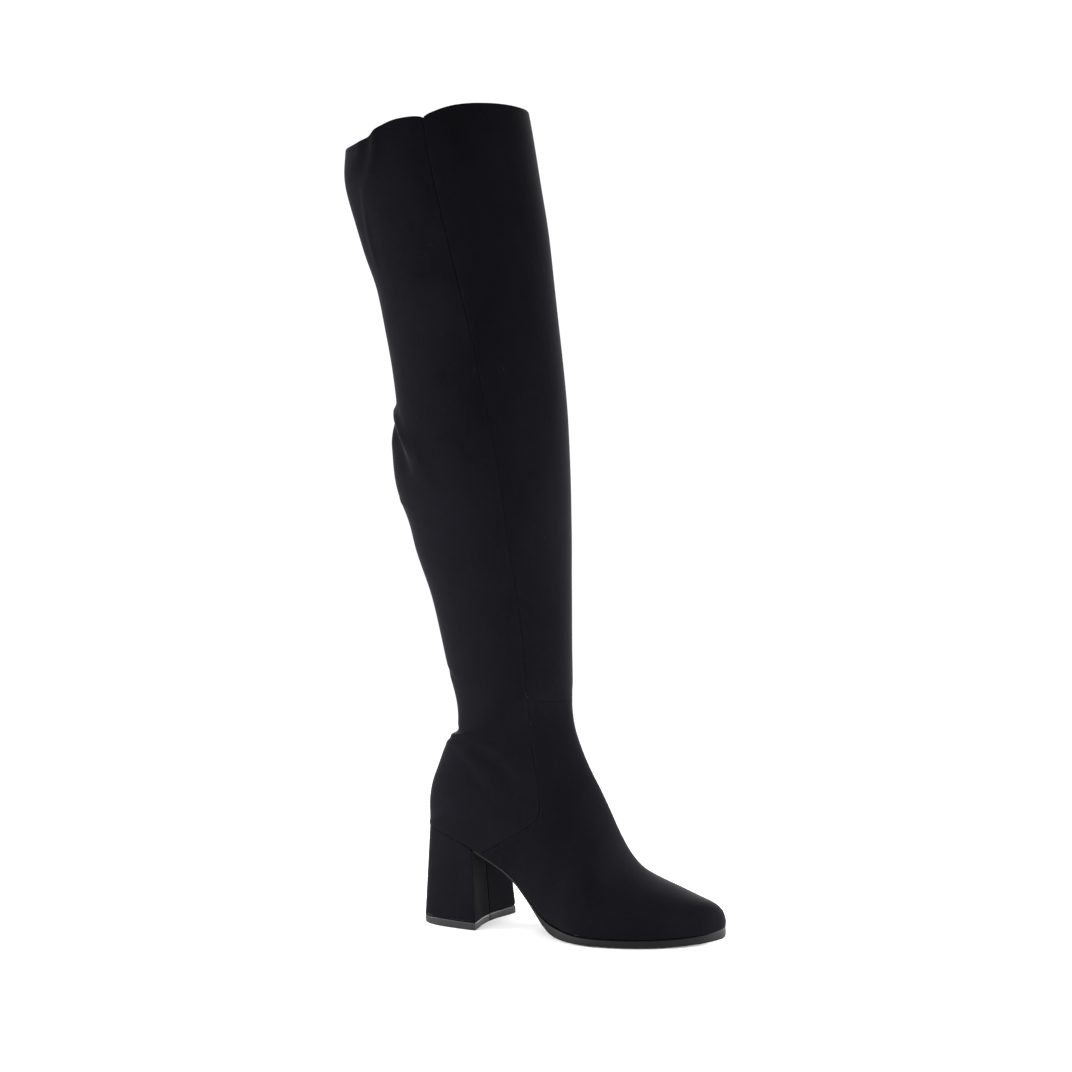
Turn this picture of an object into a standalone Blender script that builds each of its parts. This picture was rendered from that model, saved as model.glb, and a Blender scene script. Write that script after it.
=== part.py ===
"""Thigh-high boot with a covered block heel: a right boot, EU size 39, standing empty on its sole.

Metres, +Z up. The toe points to +X, the inner side of the foot is +Y and the floor is Z = 0.
The tables are in millimetres and are measured from the heel back (X), from the middle of the heel (Y)
and from the floor (Z). At the end the whole boot is moved so that the middle of its box is over the origin.

Pieces: upper (foot and leg, one sewn shell), insole, outsole, heel and heel_lift.
"""

import math

import bmesh
import bpy
import numpy as np
from mathutils import Vector

MM = 0.001

# Driving sizes, in millimetres
UPPER_LENGTH = 240.6  # heel back to toe tip, where the upper meets the sole
SEAT_HEIGHT = 77.0  # the upper's lower edge at the heel back
FOREFOOT_HEIGHT = 7.0  # the upper's lower edge at the joints
COLLAR_BACK_HEIGHT = 603.0
COLLAR_FRONT_HEIGHT = 622.0
TOE_SWING = 14.5  # how far the toe tip lies towards the inner side

WALL = 2.0  # fabric, backing and lining together
GAP = 0.3  # between touching pieces
SOLE_PROUD = 1.1  # how far the sole's edge stands out past the upper
SOLE_TOP_ROUND = 0.4  # how far its upper corner is taken off, and its lower one
SOLE_LOW_ROUND = 0.8
INSOLE_THICKNESS = 2.5
INSOLE_INSET = WALL + 1.2
LIFT_THICKNESS = 6.0
LIFT_LOW_ROUND = 0.5
HEEL_TOP_LENGTH = 51.0  # heel back to the outer corners of the heel's front face, at its top
HEEL_BASE_LENGTH = 54.2
HEEL_HOLLOW = 5.4  # how far that face is scooped out
HEEL_TUCK = 0.4  # how far the heel's top is tucked under the upper's lower edge
COVER_SEAM_WIDTH = 1.2  # where the heel's cover closes, down the middle of its front face
COVER_SEAM_DEPTH = 0.6

# The upper's lower edge seen from above: a closed line, outer side first.
OUTLINE = (
    # place, x, y
    ("heel back", 0.0, 0.0),
    ("heel corner", 7.5, -18.5),
    ("seat", 28.0, -27.2),
    ("heel front", 55.0, -27.8),
    ("shank", 82.0, -25.4),
    ("waist", 104.0, -25.0),
    ("waist front", 122.0, -28.4),
    ("behind the joint", 138.0, -34.4),
    ("outer joint", 154.0, -36.9),
    ("before the joint", 171.0, -34.4),
    ("little toe", 190.0, -28.4),
    ("toe side", 211.0, -17.8),
    ("toe corner", 229.0, -5.0),
    ("toe round", 237.6, 4.8),
    ("toe tip", UPPER_LENGTH, TOE_SWING),
    ("inner toe round", 237.6, 23.8),
    ("inner toe corner", 229.0, 31.4),
    ("great toe", 211.0, 38.0),
    ("before the inner joint", 192.0, 41.4),
    ("inner joint", 174.0, 41.6),
    ("behind the inner joint", 152.0, 36.4),
    ("inner waist front", 128.0, 26.6),
    ("arch", 102.0, 21.4),
    ("inner shank", 78.0, 23.4),
    ("inner heel front", 54.0, 27.2),
    ("inner seat", 28.0, 27.2),
    ("inner heel corner", 7.5, 18.5),
)

# Height of the upper's lower edge along the foot.
FEATHER_LINE = (
    # x, z
    (0.0, SEAT_HEIGHT),
    (20.0, 73.8),
    (38.0, 67.8),
    (52.0, 61.4),
    (61.0, 56.4),
    (74.0, 50.2),
    (86.0, 42.2),
    (96.5, 29.8),
    (107.5, 17.0),
    (118.0, 11.2),
    (130.0, 8.6),
    (146.0, FOREFOOT_HEIGHT + 0.2),
    (186.0, FOREFOOT_HEIGHT),
    (210.0, FOREFOOT_HEIGHT + 0.4),
    (228.0, 8.8),
    (UPPER_LENGTH, 11.2),
)

# Height of the outsole's under side.
SOLE_UNDERSIDE = (
    # x, z
    (40.0, 65.0),
    (52.0, 59.0),
    (61.0, 54.0),
    (74.0, 47.4),
    (85.0, 39.4),
    (95.0, 28.0),
    (106.5, 13.4),
    (114.5, 4.6),
    (122.5, 0.9),
    (132.0, 0.0),
    (200.0, 0.0),
    (212.0, 0.4),
    (228.0, 1.6),
    (UPPER_LENGTH + SOLE_PROUD, 3.6),
)

# The heel's base seen from above, one half of it. It runs on past the front face, which cuts it off.
HEEL_BASE = (
    # place, x, half width
    ("back", -3.0, 0.0),
    ("back round", -2.0, 11.0),
    ("back corner", 1.6, 20.0),
    ("behind the side", 8.6, 25.8),
    ("side", 18.0, 28.6),
    ("side middle", 32.0, 30.2),
    ("front corner", 54.0, 30.8),
    ("past the front", 70.0, 30.8),
)

# Sections through the foot, toe to heel. Each plane runs across the foot, from the lower edge at low_x up to
# the ridge of the instep. The widest place is at that share of the section's height, and it stands out past
# the outline by outer and inner. fullness is how far the upper arc reaches before it turns in.
FOOT_SECTIONS = (
    # name, low_x, ridge_x, ridge_z, ridge_y, outer, inner, widest, fullness, steps
    ("toe tip", 240.4, 240.3, 17.0, 14.5, 0.0, 0.0, 0.40, 0.56, 1),
    ("toe wall", 239.4, 239.0, 21.0, 14.5, 0.0, 0.0, 0.40, 0.58, 1),
    ("toe shoulder", 236.8, 236.0, 24.6, 14.4, 0.1, 0.1, 0.40, 0.60, 2),
    ("toe top", 230.0, 228.8, 28.4, 14.2, 0.4, 0.4, 0.40, 0.61, 2),
    ("toe box", 216.0, 214.5, 33.2, 13.2, 1.0, 1.0, 0.40, 0.60, 2),
    ("toe root", 199.0, 199.0, 39.2, 11.4, 1.5, 1.5, 0.40, 0.57, 2),
    ("joint", 180.0, 184.0, 45.4, 9.8, 2.0, 2.0, 0.38, 0.53, 2),
    ("vamp break", 163.0, 172.6, 52.4, 8.6, 2.2, 2.2, 0.35, 0.51, 2),
    ("ball girth", 146.0, 165.6, 63.4, 7.0, 2.6, 2.4, 0.32, 0.52, 4),
    ("waist girth", 126.0, 159.0, 79.4, 5.4, 3.4, 3.4, 0.30, 0.54, 5),
    ("instep girth", 104.0, 151.6, 98.0, 4.0, 5.0, 6.4, 0.30, 0.55, 4),
    ("high instep", 82.0, 144.6, 113.0, 3.0, 5.2, 7.0, 0.32, 0.55, 3),
    ("heel front girth", 58.0, 138.4, 125.6, 2.0, 4.4, 5.2, 0.34, 0.55, 2),
    ("seat girth", 38.0, 134.0, 135.8, 1.4, 4.0, 4.4, 0.36, 0.55, 2),
    ("seat back", 22.0, 131.2, 143.4, 0.9, 3.8, 4.0, 0.37, 0.55, 2),
    ("round of the heel", 10.0, 129.2, 149.8, 0.5, 3.6, 3.6, 0.38, 0.55, 2),
    ("heel curve", 2.6, 127.6, 155.6, 0.2, 3.4, 3.4, 0.38, 0.55, 1),
)

# Sections through the heel and the leg, upwards: closed rings, each in a plane from the back line to the
# front line.
LEG_SECTIONS = (
    # name, back_x, back_z, front_x, front_z, half_width, widest, steps
    ("long heel girth", 0.0, SEAT_HEIGHT + 0.5, 126.6, 161.0, 31.0, 0.39, 1),
    ("counter low", -0.8, 90.0, 125.8, 167.0, 31.6, 0.40, 1),
    ("counter middle", 1.8, 104.0, 125.2, 172.0, 32.2, 0.41, 2),
    ("counter high", 8.4, 119.0, 124.8, 176.0, 33.2, 0.43, 1),
    ("counter top", 13.8, 130.5, 124.6, 180.0, 34.0, 0.45, 1),
    ("fold lip", 18.4, 138.8, 124.5, 183.4, 34.6, 0.46, 1),
    ("fold", 25.4, 144.4, 124.4, 187.0, 35.0, 0.48, 1),
    ("fold root", 29.6, 150.6, 124.4, 191.0, 35.2, 0.49, 1),
    ("ankle", 30.4, 160.0, 124.4, 198.0, 35.2, 0.50, 1),
    ("above the ankle", 28.4, 176.0, 124.4, 208.0, 35.8, 0.50, 1),
    ("shin low", 23.4, 191.0, 124.4, 219.0, 37.4, 0.50, 2),
    ("shin", 16.0, 226.0, 124.8, 246.0, 40.4, 0.50, 2),
    ("calf low", 8.6, 258.0, 125.0, 272.0, 43.6, 0.50, 2),
    ("calf dip", -3.4, 290.0, 125.4, 298.0, 48.0, 0.50, 2),
    ("calf crease", -8.6, 313.0, 125.4, 318.0, 50.0, 0.50, 2),
    ("calf", -18.6, 338.0, 125.2, 341.0, 53.6, 0.50, 2),
    ("calf bulge", -20.6, 364.0, 124.8, 366.0, 54.4, 0.50, 2),
    ("knee", -19.4, 386.0, 124.2, 388.0, 54.0, 0.50, 2),
    ("knee hollow", -17.4, 402.0, 123.4, 404.0, 53.0, 0.50, 2),
    ("above the knee", -19.6, 430.0, 121.0, 433.0, 52.8, 0.50, 2),
    ("thigh low", -25.0, 460.0, 117.8, 465.0, 53.4, 0.50, 2),
    ("thigh", -31.0, 491.0, 114.6, 498.0, 54.6, 0.50, 2),
    ("thigh middle", -40.0, 522.0, 111.2, 531.0, 56.8, 0.50, 2),
    ("thigh high", -50.0, 553.0, 105.6, 565.0, 59.0, 0.50, 2),
    ("below the collar", -57.6, 582.0, 100.2, 598.0, 60.0, 0.50, 2),
    ("collar", -57.0, COLLAR_BACK_HEIGHT, 95.8, COLLAR_FRONT_HEIGHT, 58.8, 0.50, 1),
)

# Soft folds in the leg. bearing runs round the leg from the front (0), by the outer side (90) to the back
# (180), lean is the fold's turn from upright, and depth is below zero in a trough.
FOLDS = (
    # name, z, bearing, half_length, half_width, lean, depth
    ("collar pleat", 600.0, 135.0, 60.0, 11.0, 0.0, -6.5),
    ("collar lobe", 600.0, 112.0, 60.0, 16.0, 0.0, 2.0),
    ("knee crease", 374.0, 138.0, 34.0, 9.0, 32.0, -3.6),
    ("knee ridge", 366.0, 154.0, 30.0, 12.0, 32.0, 1.6),
    ("ankle ridge", 149.0, 120.0, 13.0, 34.0, 0.0, 1.4),
    ("ankle trough", 128.0, 112.0, 12.0, 30.0, 20.0, -1.0),
)
INNER_FOLD_SHARE = 0.3  # the inner side has the same folds, shallower

# The collar's edge, above or below a plane through its front and back.
COLLAR_EDGE = (
    # bearing, rise
    (0.0, 2.2),
    (36.0, 4.0),
    (57.0, 4.8),
    (66.0, 2.4),
    (72.0, -1.4),
    (78.0, 1.6),
    (90.0, 2.4),
    (102.0, 1.0),
    (113.0, -4.4),
    (130.0, -3.4),
    (155.0, -1.0),
    (180.0, 0.0),
)
COLLAR_REACH = 40.0  # height of leg that follows the edge up and down

WALL_LEAN = (
    # x, degrees that the upper's wall leans out where it leaves the sole
    (0.0, 8.0),
    (60.0, 16.0),
    (100.0, 24.0),
    (150.0, 12.0),
    (200.0, 5.0),
    (230.0, 0.0),
)

SOLE_STAND_OUT = (
    # x, how far the sole's edge stands out past the upper
    (40.0, 0.0),
    (100.0, 0.2),
    (126.0, SOLE_PROUD),
    (UPPER_LENGTH, SOLE_PROUD),
)

QUARTER_ROUND = 0.5523  # handle length of a cubic arc that makes a quarter of an ellipse
LOWER_SEGMENTS = 7  # on each side, from the lower edge or the back line to the widest place
UPPER_SEGMENTS = 7  # from there to the ridge or the front line
OUTLINE_STEPS = 6  # between two points of OUTLINE
SOLE_COLUMNS = 4
HEEL_LEVELS = 6
HEEL_ROWS = (0.003, 0.02, 0.06, 0.13, 0.24, 0.4, 0.6, 0.8, 1.0)  # shares of its length
TOE_ROUND_START = 225.0  # X from which rows are stretched to the tip of their own outline

MATERIALS = {
    # name: colour, roughness
    "stretch_suede": ((0.0110, 0.0104, 0.0138), 0.92),
    "insole_fabric": ((0.0200, 0.0190, 0.0210), 0.85),
    "sole_rubber": ((0.0240, 0.0230, 0.0250), 0.45),
    "heel_suede": ((0.0125, 0.0115, 0.0150), 0.92),
    "lift_rubber": ((0.0300, 0.0290, 0.0300), 0.40),
}


def smooth_through(knots, values, at):
    """A curve through the knots that never overshoots them (monotone cubic), read at the given places."""
    knots = np.asarray(knots, float)
    values = np.asarray(values, float)
    spans = np.diff(knots)
    slopes = np.diff(values) / spans
    tangents = np.zeros_like(values)
    tangents[0] = slopes[0]
    tangents[-1] = slopes[-1]
    for i in range(1, len(values) - 1):
        before = slopes[i - 1]
        after = slopes[i]
        if before * after > 0:
            first = 2 * spans[i] + spans[i - 1]
            second = spans[i] + 2 * spans[i - 1]
            tangents[i] = (first + second) / (first / before + second / after)
    at = np.clip(np.asarray(at, float), knots[0], knots[-1])
    i = np.clip(np.searchsorted(knots, at, side="right") - 1, 0, len(spans) - 1)
    t = (at - knots[i]) / spans[i]
    blend = t * t * (3 - 2 * t)
    bend = spans[i] * t * (1 - t) * (tangents[i] * (1 - t) - tangents[i + 1] * t)
    return values[i] * (1 - blend) + values[i + 1] * blend + bend


def closed_curve(points, per_span):
    """A closed Catmull-Rom line through the points, with per_span steps from each to the next."""
    points = np.asarray(points, float)
    before = np.roll(points, 1, axis=0)
    end = np.roll(points, -1, axis=0)
    after = np.roll(points, -2, axis=0)
    line = []
    for p0, p1, p2, p3 in zip(before, points, end, after):
        for t in np.arange(per_span) / per_span:
            square = (2 * p0 - 5 * p1 + 4 * p2 - p3) * t * t
            cube = (3 * p1 - p0 - 3 * p2 + p3) * t**3
            line.append((2 * p1 + (p2 - p0) * t + square + cube) / 2)
    return np.array(line)


EDGE = closed_curve([(x, y) for _, x, y in OUTLINE], OUTLINE_STEPS)


def moved_out(line, distance):
    """The closed line moved out along its own normals, or in if the distance is below zero."""
    along = np.roll(line, -1, axis=0) - np.roll(line, 1, axis=0)
    along /= np.linalg.norm(along, axis=1)[:, None]
    out = np.column_stack([along[:, 1], -along[:, 0]])
    return line + out * np.broadcast_to(distance, len(line))[:, None]


def side_y(line, x, side):
    """Y of a closed outline at this X: side is -1 for its outer half and 1 for its inner half."""
    line = np.roll(line, -int(np.argmin(line[:, 0])), axis=0)
    tip = int(np.argmax(line[:, 0]))
    half = line[: tip + 1] if side < 0 else np.vstack([line[tip:], line[:1]])[::-1]
    return float(np.interp(x, half[:, 0], half[:, 1]))


def read(table, x):
    """A two-column table read smoothly at this X."""
    return smooth_through(*zip(*table), x)


def feather_z(x):
    return read(FEATHER_LINE, x)


def slope(height, x, step=0.1):
    return float(height(x + step) - height(x - step)) / (2 * step)


def rise_angle(low_x, side, along):
    """The angle at which a section leaves the lower edge, from straight outwards, in its own plane."""
    lean = math.radians(float(read(WALL_LEAN, low_x)))
    edge = Vector((1.0, slope(lambda x: side_y(EDGE, x, side), low_x), slope(feather_z, low_x)))
    outward = Vector((-edge.y, 1.0, 0.0)).normalized() * side
    wall = outward * math.sin(lean) + Vector((0.0, 0.0, math.cos(lean)))
    across = Vector((along.z, 0.0, -along.x))
    rise = wall - edge * (wall.dot(across) / edge.dot(across))
    return math.atan2(rise.dot(along), side * rise.y)


def arc(start, first, second, end, steps):
    """Points along a cubic arc, without its last one."""
    t = (np.arange(steps) / steps)[:, None]
    start, first, second, end = (np.asarray(p, float) for p in (start, first, second, end))
    opening = start * (1 - t) ** 3 + 3 * first * t * (1 - t) ** 2
    return opening + 3 * second * t * t * (1 - t) + end * t**3


def half_section(low_y, angle, widest, top, fullness, side):
    """One side of a section as (y, height) points, from the lower edge to just before the ridge."""
    low = np.array([low_y, 0.0])
    leave = np.array([side * math.cos(angle), math.sin(angle)])
    room = max(abs(widest[0] - low_y), 0.1)
    reach = 1 / (abs(math.cos(angle)) / room + math.sin(angle) / widest[1])
    below_widest = (widest[0], widest[1] * (1 - QUARTER_ROUND))
    above_widest = (widest[0], widest[1] + (top[1] - widest[1]) * fullness)
    beside_top = (top[0] + (widest[0] - top[0]) * fullness, top[1])
    lower = arc(low, low + leave * reach * QUARTER_ROUND, below_widest, widest, LOWER_SEGMENTS)
    upper = arc(widest, above_widest, beside_top, top, UPPER_SEGMENTS)
    return np.vstack([lower, upper])


def stations():
    """Every section to be lofted, from the toe to the collar, read smoothly off the two tables."""
    rows = []
    for _, low_x, ridge_x, ridge_z, ridge_y, outer, inner, widest, fullness, steps in FOOT_SECTIONS:
        low_z = float(feather_z(low_x))
        rows.append((low_x, low_z, ridge_x, ridge_z, ridge_y, outer, inner, widest, fullness, steps))
    for _, back_x, back_z, front_x, front_z, half_width, widest, steps in LEG_SECTIONS:
        widest_x = back_x + (front_x - back_x) * widest
        outer = half_width + side_y(EDGE, widest_x, -1)
        inner = half_width - side_y(EDGE, widest_x, 1)
        rows.append((back_x, back_z, front_x, front_z, 0.0, outer, inner, widest, QUARTER_ROUND, steps))
    table = np.array(rows)
    moves = np.diff(table[:, :4], axis=0)
    lengths = (np.hypot(moves[:, 0], moves[:, 1]) + np.hypot(moves[:, 2], moves[:, 3])) / 2
    knots = np.concatenate([[0.0], np.cumsum(lengths)])
    places = []
    for start, length, steps in zip(knots, lengths, table[:, -1]):
        places.extend(start + length * np.arange(steps) / steps)
    places.append(knots[-1])
    columns = [smooth_through(knots, column, places) for column in table[:, :-1].T]
    ring_from = knots[len(FOOT_SECTIONS)]
    return [(place >= ring_from, *values) for place, *values in zip(places, *columns)]


STATIONS = stations()
FOOT_ROWS = [low_x for is_ring, low_x, *_ in STATIONS if not is_ring][::-1]


def fold_push(z, bearing, radius):
    """How far the folds push the leg's surface out, at this height and bearing."""
    push = 0.0
    for _, fold_z, fold_bearing, half_length, half_width, lean, depth in FOLDS:
        across = math.radians(bearing - fold_bearing) * radius
        up = z - fold_z
        turn = math.radians(lean)
        along = up * math.cos(turn) + across * math.sin(turn)
        aside = across * math.cos(turn) - up * math.sin(turn)
        push += depth * math.exp(-((along / half_length) ** 2) - (aside / half_width) ** 2)
    return push


def folded(point, middle_x, half_depth, half_width):
    """A point of the leg moved by the soft folds and by the collar's arch."""
    x, y, z = point
    bearing = math.degrees(math.atan2(abs(y) / half_width, (x - middle_x) / half_depth))
    push = fold_push(z, bearing, (half_depth + half_width) / 2)
    if y > 0:
        push *= INNER_FOLD_SHARE
    away = Vector(((x - middle_x) / half_depth**2, y / half_width**2, 0.0)).normalized() * push
    nearness = min(1.0, max(0.0, 1 - (COLLAR_BACK_HEIGHT - z) / COLLAR_REACH))
    rise = float(read(COLLAR_EDGE, bearing))
    return (x + away.x, y + away.y, z + rise * nearness**2)


def section_points(station):
    """The points of one section, outer side first."""
    is_ring, low_x, low_z, top_x, top_z, top_y, outer, inner, widest, fullness = station
    if not is_ring:
        low_z = float(feather_z(low_x))
    height = math.hypot(top_x - low_x, top_z - low_z)
    along = Vector((top_x - low_x, 0.0, top_z - low_z)) / height
    widest_x = low_x + (top_x - low_x) * widest
    sides = []
    for side, bulge in ((-1, outer), (1, inner)):
        low_y = 0.0 if is_ring else side_y(EDGE, low_x, side)
        angle = 0.0 if is_ring else rise_angle(low_x, side, along)
        widest_y = side_y(EDGE, widest_x, side) + side * bulge
        flat = half_section(low_y, angle, (widest_y, widest * height), (top_y, height), fullness, side)
        sides.append([(low_x + h * along.x, y, low_z + h * along.z) for y, h in flat])
    points = sides[0] + [(top_x, top_y, top_z)] + sides[1][::-1]
    if is_ring:
        half_width = side_y(EDGE, widest_x, 1) + inner
        middle_x = (low_x + top_x) / 2
        points = [folded(p, middle_x, (top_x - low_x) / 2, half_width) for p in points[:-1]]
    return points


def new_row(shape, points):
    return [shape.verts.new(Vector(point) * MM) for point in points]


def fill_between(shape, first, second):
    """Faces from one row of vertices to the next. Where two corners are one vertex, it makes a triangle."""
    for corners in zip(first, first[1:], second[1:], second):
        kept = list(dict.fromkeys(corners))
        if len(kept) > 2:
            shape.faces.new(kept)


def object_from(shape, name):
    mesh = bpy.data.meshes.new(name)
    shape.to_mesh(mesh)
    shape.free()
    mesh.shade_smooth()
    mesh.set_sharp_from_angle(angle=math.radians(35))
    return bpy.data.objects.new(name, mesh)


def make_upper():
    """Foot and leg in one hollow shell, open at the collar and under the foot."""
    shape = bmesh.new()
    rows = []
    for station in STATIONS:
        row = new_row(shape, section_points(station))
        if station[0]:
            row.append(row[0])
        rows.append(row)
    for below, above in zip(rows, rows[1:]):
        fill_between(shape, below, above)
    shape.faces.new(rows[0][::-1])
    upper = object_from(shape, "upper")
    wall = upper.modifiers.new("wall", "SOLIDIFY")
    wall.thickness = WALL * MM
    wall.offset = -1.0
    wall.use_even_offset = True
    return upper


def rim(grid):
    """The border of a grid of rows, as one loop."""
    inner_side = [row[-1] for row in grid[1:-1]]
    outer_side = [row[0] for row in grid[-2:0:-1]]
    return grid[0] + inner_side + grid[-1][::-1] + outer_side


def stacked_solid(name, grids):
    """A closed solid between a top and a bottom grid of points. The grids between them give only their rims."""
    shape = bmesh.new()
    top = [new_row(shape, row) for row in grids[0]]
    bottom = [new_row(shape, row) for row in grids[-1]]
    for grid in (top, bottom):
        for first, second in zip(grid, grid[1:]):
            fill_between(shape, first, second)
    rims = [rim(top), *(new_row(shape, rim(grid)) for grid in grids[1:-1]), rim(bottom)]
    for above, below in zip(rims, rims[1:]):
        fill_between(shape, above + above[:1], below + below[:1])
    bmesh.ops.recalc_face_normals(shape, faces=shape.faces)
    return object_from(shape, name)


def row_across(line, x, columns):
    outer_y = side_y(line, x, -1)
    inner_y = side_y(line, x, 1)
    return [(x, outer_y + (inner_y - outer_y) * column / columns) for column in range(columns + 1)]


def toe_stretched(line, x):
    """A row's X on an outline whose tip is a little further in or out than the upper's."""
    if x < TOE_ROUND_START:
        return x
    share = (x - TOE_ROUND_START) / (UPPER_LENGTH - TOE_ROUND_START)
    return TOE_ROUND_START + share * (line[:, 0].max() - TOE_ROUND_START)


def breast_x(corner_x, y):
    """X of the heel's scooped front face, which is furthest back in its middle."""
    half_width = side_y(EDGE, HEEL_TOP_LENGTH, 1)
    return corner_x - HEEL_HOLLOW * max(0.0, 1 - (y / half_width) ** 2)


def make_insole():
    line = moved_out(EDGE, -INSOLE_INSET)
    back_x = line[:, 0].min() + 0.2
    xs = [back_x] + [toe_stretched(line, x) for x in FOOT_ROWS if x > back_x + 1]
    rows = [row_across(line, x, 1) for x in xs]
    grids = []
    for thickness in (INSOLE_THICKNESS, 0.0):
        rises = [thickness * math.hypot(1, slope(feather_z, x)) for x in xs]
        heights = [float(feather_z(x)) + rise for x, rise in zip(xs, rises)]
        grids.append([[(x, y, z) for x, y in row] for row, z in zip(rows, heights)])
    return stacked_solid("insole", grids)


def make_outsole():
    """A thin rubber sole that ends against the heel's scooped front face."""
    stand_out = read(SOLE_STAND_OUT, EDGE[:, 0])
    start_x = HEEL_TOP_LENGTH + 2 * GAP
    levels = (
        # how far the edge is drawn in, share of the thickness, height added to it
        (SOLE_TOP_ROUND, 1.0, 0.0),
        (0.0, 1.0, -SOLE_TOP_ROUND),
        (0.0, 0.0, SOLE_LOW_ROUND),
        (SOLE_LOW_ROUND, 0.0, 0.0),
    )
    grids = []
    for drawn_in, share, added in levels:
        line = moved_out(EDGE, stand_out - drawn_in)
        rows = [[(breast_x(start_x, y), y) for _, y in row_across(line, start_x, SOLE_COLUMNS)]]
        for x in FOOT_ROWS:
            if x > start_x + 3:
                rows.append(row_across(line, toe_stretched(line, x), SOLE_COLUMNS))
        grid = []
        for row in rows:
            points = []
            for x, y in row:
                top = float(feather_z(x)) - GAP
                bottom = float(read(SOLE_UNDERSIDE, x))
                room = (top - bottom) / 3  # a thin place takes a smaller rounding
                level = bottom + (top - bottom) * share + max(-room, min(room, added))
                points.append((x, y, level))
            grid.append(points)
        grids.append(grid)
    return stacked_solid("outsole", grids)


def heel_outline_rows(line, corner_x):
    """Rows of (x, y) over an outline, from the heel's back to its scooped front face."""
    back_x = line[:, 0].min()
    seam = COVER_SEAM_WIDTH / 2 / side_y(line, corner_x, 1)
    columns = (-1.0, -0.75, -0.5, -0.25, -seam, 0.0, seam, 0.25, 0.5, 0.75, 1.0)
    rows = []
    for share in HEEL_ROWS:
        x = back_x + (corner_x - back_x) * share
        outer_y = side_y(line, x, -1)
        inner_y = side_y(line, x, 1)
        row = []
        for column in columns:
            y = (outer_y + inner_y) / 2 + (inner_y - outer_y) / 2 * column
            scoop = (corner_x - breast_x(corner_x, y)) * share**2
            groove = COVER_SEAM_DEPTH if share == 1.0 and column == 0.0 else 0.0
            row.append((x - scoop - groove, y))
        rows.append(row)
    return np.array(rows)


def heel_rows(drop):
    """Rows of (x, y) over the heel, at this share of the way down from its top to its base."""
    top = heel_outline_rows(moved_out(EDGE, -HEEL_TUCK), HEEL_TOP_LENGTH)
    outer = [(x, -half) for _, x, half in HEEL_BASE]
    inner = [(x, half) for _, x, half in HEEL_BASE[:0:-1]]
    base = heel_outline_rows(closed_curve(outer + inner, OUTLINE_STEPS), HEEL_BASE_LENGTH)
    return (top + (base - top) * drop).tolist()


def make_heel():
    """A flared block, hollowed in front, with its cover's closing seam down the middle of that face."""
    base_z = LIFT_THICKNESS + GAP
    grids = []
    for level in range(HEEL_LEVELS + 1):
        drop = level / HEEL_LEVELS
        grid = []
        for row in heel_rows(drop):
            tops = [float(feather_z(x)) - GAP for x, _ in row]
            grid.append([(x, y, top + (base_z - top) * drop) for (x, y), top in zip(row, tops)])
        grids.append(grid)
    return stacked_solid("heel", grids)


def make_heel_lift():
    rows = heel_rows(1.0)
    middle_x = HEEL_BASE_LENGTH / 2
    drawn_in = 1 - LIFT_LOW_ROUND / middle_x
    grids = []
    for z, share in ((LIFT_THICKNESS, 1.0), (LIFT_LOW_ROUND, 1.0), (0.0, drawn_in)):
        grids.append([[(middle_x + (x - middle_x) * share, y * share, z) for x, y in row] for row in rows])
    return stacked_solid("heel_lift", grids)


def new_material(name):
    colour, roughness = MATERIALS[name]
    material = bpy.data.materials.new(name)
    material.use_nodes = True
    shader = material.node_tree.nodes["Principled BSDF"]
    shader.inputs["Base Color"].default_value = (*colour, 1.0)
    shader.inputs["Roughness"].default_value = roughness
    shader.inputs["Metallic"].default_value = 0.0
    return material


def centre_on_origin(frame, pieces):
    """Moves the frame so that the middle of the boot's box is over the origin and the sole is on the floor."""
    bpy.context.view_layer.update()
    graph = bpy.context.evaluated_depsgraph_get()
    corners = []
    for piece in pieces:
        shown = piece.evaluated_get(graph)
        corners.extend(shown.matrix_world @ Vector(corner) for corner in shown.bound_box)
    middle = [(min(c[axis] for c in corners) + max(c[axis] for c in corners)) / 2 for axis in (0, 1)]
    frame.location = (-middle[0], -middle[1], 0.0)


def build():
    for old in list(bpy.data.objects):
        bpy.data.objects.remove(old, do_unlink=True)
    boot = bpy.data.collections.new("thigh_high_boot")
    bpy.context.scene.collection.children.link(boot)
    frame = bpy.data.objects.new("boot_frame", None)
    boot.objects.link(frame)
    pieces = {
        "stretch_suede": make_upper(),
        "insole_fabric": make_insole(),
        "sole_rubber": make_outsole(),
        "heel_suede": make_heel(),
        "lift_rubber": make_heel_lift(),
    }
    for material_name, piece in pieces.items():
        piece.data.materials.append(new_material(material_name))
        boot.objects.link(piece)
        piece.parent = frame
    centre_on_origin(frame, pieces.values())


build()
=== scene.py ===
# %% [markdown]
# # A thigh-high boot with a covered block heel
# The boot is a thin shell of fabric over the shape of a leg and a last. Three panels are sewn into it: a vamp
# over the foot, a front shaft panel, and one back panel that runs from the heel seat to the collar. Under it are
# an insole, a thin rubber sole, a block heel covered in the same fabric, and a hard heel lift.
#
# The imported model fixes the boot's size and main shapes. Each piece is made around it, in the boot's millimetres:
# X runs from the back of the heel to the toe, +Y is the inner side, and Z is the height over the floor.

import math

import bmesh
import bpy
import numpy as np
from mathutils import Matrix, Vector
from mathutils.bvhtree import BVHTree
from mathutils.kdtree import KDTree


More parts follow.
